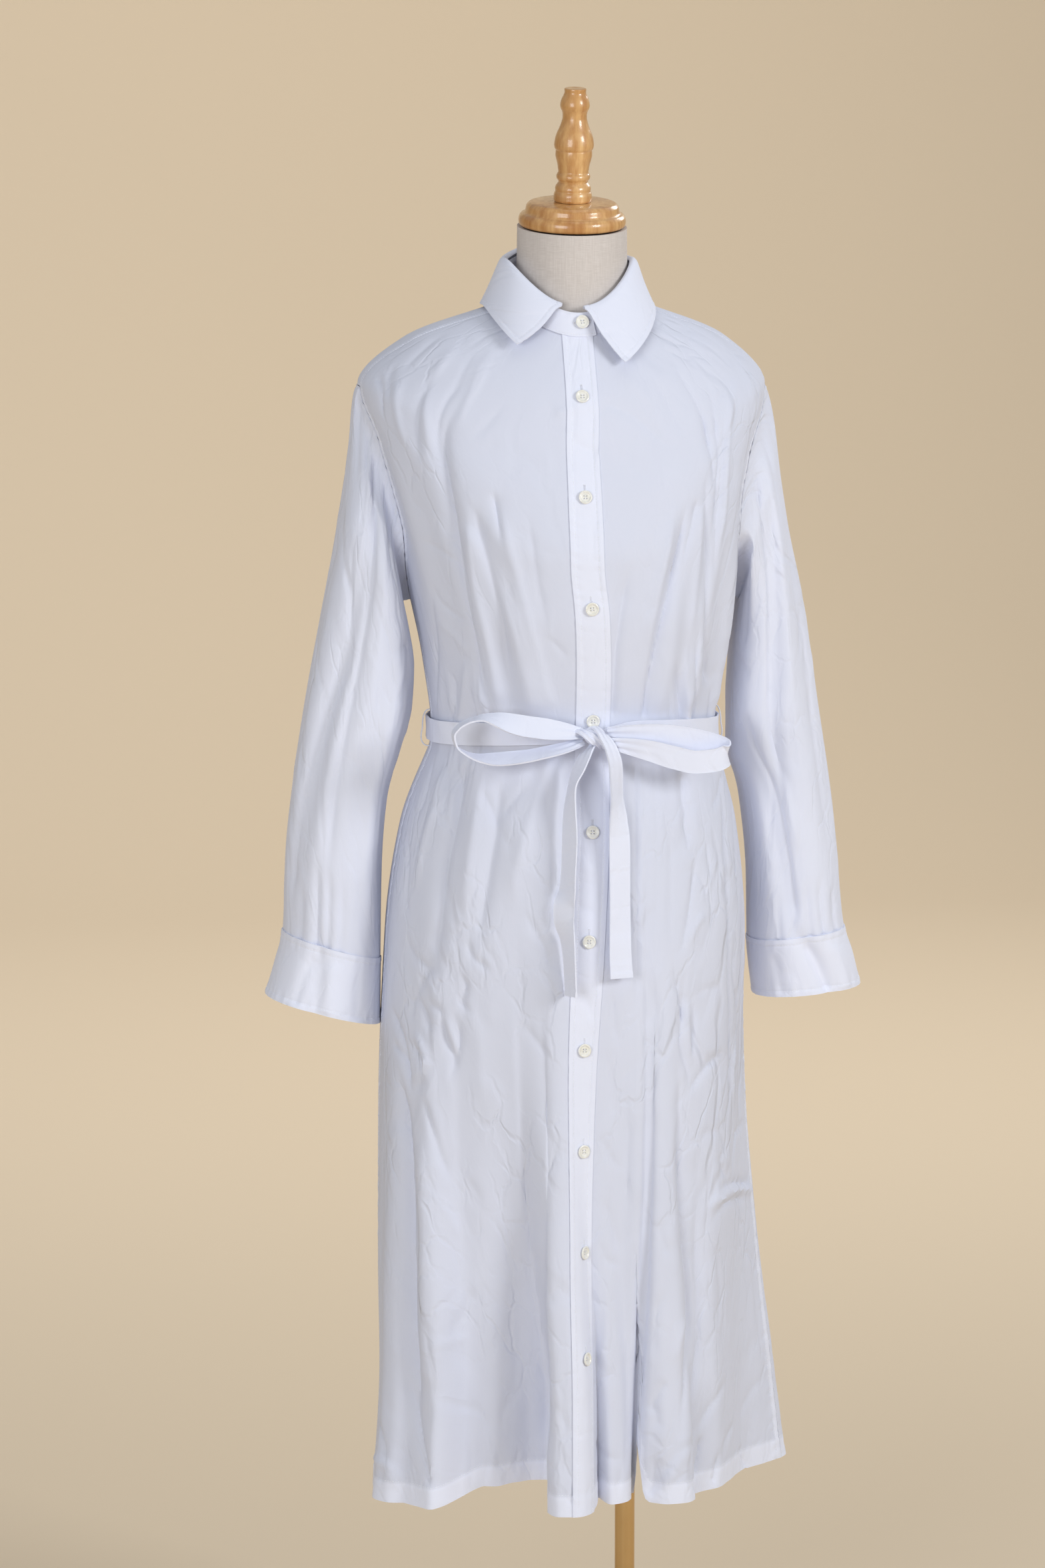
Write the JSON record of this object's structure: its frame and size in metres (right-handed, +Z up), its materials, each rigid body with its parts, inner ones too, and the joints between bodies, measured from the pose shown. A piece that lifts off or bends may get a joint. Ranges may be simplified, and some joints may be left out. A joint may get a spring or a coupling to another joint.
{
  "type": "shirt dress on dress form stand",
  "caption": "Long-sleeved button-front shirt dress with collar, cuffs and tie belt, worn by a limbless dress form on a single pole with a round floor base.",
  "frame": {"origin": "centre of the floor face of the base plate, under the pole", "axes": "+Z up, the front of the dress faces -Y, the wearer's left is +X; the torso axis stands 53 mm to the wearer's right of the pole"},
  "size_m": [0.5713, 0.372, 1.5994],
  "materials": {
    "cloth": "plain-weave cotton shirting, matt, cool white",
    "buttons": "off-white, slightly see-through, soft gloss",
    "form_linen": "fine grey-beige linen, matt",
    "wood": "light wood, turned, clear gloss varnish",
    "pole_metal": "polished brass colour",
    "base_metal": "satin brass colour"
  },
  "bodies": {
    "root": {"front_right": "cloth", "front_left": "cloth", "back": "cloth", "yoke": "cloth", "placket": "cloth", "button_band": "cloth", "collar_stand": "cloth", "collar_leaf": "cloth", "sleeve_right": "cloth", "sleeve_left": "cloth", "cuff_right": "cloth", "cuff_left": "cloth", "belt": "cloth", "belt_knot": "cloth", "bow_loop_right": "cloth", "bow_loop_left": "cloth", "tail_right": "cloth", "tail_left": "cloth", "belt_loop_right": "cloth", "belt_loop_left": "cloth", "button_01": "buttons", "button_02": "buttons", "button_03": "buttons", "button_04": "buttons", "button_05": "buttons", "button_06": "buttons", "button_07": "buttons", "button_08": "buttons", "button_09": "buttons", "button_10": "buttons", "button_collar": "buttons", "dress_form": "form_linen", "neck_cap": "wood", "finial": "wood", "pole": "pole_metal", "base_plate": "base_metal"}
  },
  "joints": []
}
